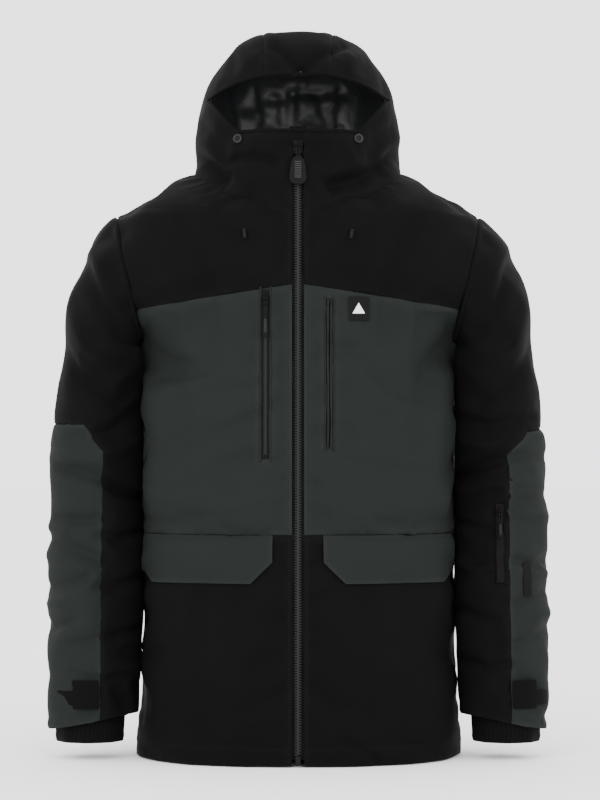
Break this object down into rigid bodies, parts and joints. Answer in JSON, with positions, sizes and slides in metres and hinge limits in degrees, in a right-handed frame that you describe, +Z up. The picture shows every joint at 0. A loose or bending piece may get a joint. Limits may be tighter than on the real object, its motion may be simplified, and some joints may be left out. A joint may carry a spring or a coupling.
{
  "type": "ski jacket",
  "caption": "Insulated hooded ski jacket with a full-length front zip, flapped hip pockets, zipped chest and sleeve pockets, cuff tabs and wrist gaiters.",
  "frame": {"origin": "middle of the hanger loop inside the back neck", "axes": "+Z up, -Y the front, +X the wearer's left"},
  "size_m": [0.6723, 0.3029, 0.9725],
  "materials": {
    "shell_black": "matt woven shell",
    "shell_grey": "matt woven shell",
    "lining": "smooth lining",
    "knit": "stretch knit",
    "zip_tape": "woven zip tape with moulded teeth",
    "coated_tape": "coated water-resistant zip",
    "moulded_plastic": "satin",
    "dark_metal": "dark plated",
    "patch_rubber": "satin"
  },
  "bodies": {
    "torso": {"yoke_front_left": "shell_black", "yoke_front_right": "shell_black", "chest_panel_left": "shell_grey", "chest_panel_right": "shell_grey", "lower_front_left": "shell_black", "lower_front_right": "shell_black", "collar_left": "shell_black", "collar_right": "shell_black", "hand_pocket_bag_left": "lining", "hand_pocket_bag_right": "lining", "chest_pocket_bag_left": "lining", "chest_pocket_bag_right": "lining", "zip_tape_left": "zip_tape", "zip_tape_right": "zip_tape", "eyelet_left": "dark_metal", "eyelet_right": "dark_metal", "cord_end_left": "moulded_plastic", "cord_end_right": "moulded_plastic", "yoke_back": "shell_black", "back_panel": "shell_grey", "lower_back": "shell_black", "collar_back": "shell_black", "body_lining": "lining", "collar_lining": "lining", "wind_flap": "shell_black", "snow_skirt": "lining", "zip_box": "moulded_plastic", "chest_zip_tape": "zip_tape", "coated_zip": "coated_tape", "chest_badge": "patch_rubber", "hanger_loop": "shell_black"},
    "hood": {"hood_centre": "shell_black", "hood_side_left": "shell_black", "hood_side_right": "shell_black", "hood_lining": "lining", "hood_edge_binding": "shell_black"},
    "upper_arm_left": {"upper_sleeve_left": "shell_black", "elbow_left": "shell_grey", "sleeve_lining_left": "lining"},
    "forearm_left": {"forearm_outer_left": "shell_grey", "forearm_inner_left": "shell_black", "wrist_gaiter_left": "knit", "sleeve_zip_tape": "zip_tape", "sleeve_label": "patch_rubber"},
    "tab_left": {"cuff_tab_left": "shell_black"},
    "flap_left": {"pocket_flap_left": "shell_grey"},
    "upper_arm_right": {"upper_sleeve_right": "shell_black", "elbow_right": "shell_grey", "sleeve_lining_right": "lining"},
    "forearm_right": {"forearm_outer_right": "shell_grey", "forearm_inner_right": "shell_black", "wrist_gaiter_right": "knit"},
    "tab_right": {"cuff_tab_right": "shell_black"},
    "flap_right": {"pocket_flap_right": "shell_grey"},
    "main_slider": {"main_slider": "dark_metal"},
    "main_pull": {"main_pull": "moulded_plastic"},
    "chest_slider": {"chest_slider": "dark_metal"},
    "chest_pull": {"chest_pull": "moulded_plastic"},
    "sleeve_slider": {"sleeve_slider": "dark_metal"},
    "sleeve_pull": {"sleeve_pull": "moulded_plastic"}
  },
  "joints": [
    {"name": "hood_fold", "type": "hinge", "parent": "torso", "child": "hood", "pos_m": [0, 0.02134, 0.022], "axis": [-1, 0, 0], "range_deg": [0, 80]},
    {"name": "shoulder_left", "type": "hinge", "parent": "torso", "child": "upper_arm_left", "pos_m": [0.2275, -0.08396, -0.1335], "axis": [-0.9806, 0, 0.1961], "range_deg": [-40, 150]},
    {"name": "elbow_left", "type": "hinge", "parent": "upper_arm_left", "child": "forearm_left", "pos_m": [0.272, -0.09696, -0.373], "axis": [-1, 0, 0], "range_deg": [0, 90], "deforming": ["elbow_left", "sleeve_lining_left"]},
    {"name": "tab_left_open", "type": "hinge", "parent": "forearm_left", "child": "tab_left", "pos_m": [0.278, -0.1798, -0.682], "axis": [0, -0.0731, -0.9973], "range_deg": [0, 75]},
    {"name": "flap_left_lift", "type": "hinge", "parent": "torso", "child": "flap_left", "pos_m": [0.1204, -0.2197, -0.471], "axis": [-0.9291, -0.3697, 0], "range_deg": [0, 100]},
    {"name": "shoulder_right", "type": "hinge", "parent": "torso", "child": "upper_arm_right", "pos_m": [-0.2275, -0.08396, -0.1335], "axis": [-0.9806, 0, -0.1961], "range_deg": [-40, 150]},
    {"name": "elbow_right", "type": "hinge", "parent": "upper_arm_right", "child": "forearm_right", "pos_m": [-0.272, -0.09696, -0.373], "axis": [-1, 0, 0], "range_deg": [0, 90], "deforming": ["elbow_right", "sleeve_lining_right"]},
    {"name": "tab_right_open", "type": "hinge", "parent": "forearm_right", "child": "tab_right", "pos_m": [-0.258, -0.17675, -0.682], "axis": [0, 0.0708, 0.9975], "range_deg": [0, 75]},
    {"name": "flap_right_lift", "type": "hinge", "parent": "torso", "child": "flap_right", "pos_m": [-0.1204, -0.2197, -0.471], "axis": [-0.9291, 0.3697, 0], "range_deg": [0, 100]},
    {"name": "main_zip", "type": "slide", "parent": "torso", "child": "main_slider", "axis": [0, -0.0688, -0.9976], "range_m": [0, 0.775]},
    {"name": "main_pull_swing", "type": "hinge", "parent": "main_slider", "child": "main_pull", "pos_m": [0, -0.20374, 0.03536], "axis": [-1, 0, 0], "range_deg": [0, 150]},
    {"name": "chest_zip", "type": "slide", "parent": "torso", "child": "chest_slider", "axis": [0, -0.0688, -0.9976], "range_m": [0, 0.19]},
    {"name": "chest_pull_swing", "type": "hinge", "parent": "chest_slider", "child": "chest_pull", "pos_m": [-0.0424, -0.21515, -0.16539], "axis": [-1, 0, 0], "range_deg": [0, 150]},
    {"name": "sleeve_zip", "type": "slide", "parent": "forearm_left", "child": "sleeve_slider", "axis": [0, -0.1582, -0.9874], "range_m": [0, 0.08]},
    {"name": "sleeve_pull_swing", "type": "hinge", "parent": "sleeve_slider", "child": "sleeve_pull", "pos_m": [0.268, -0.1471, -0.44282], "axis": [-1, 0, 0], "range_deg": [0, 150]}
  ]
}
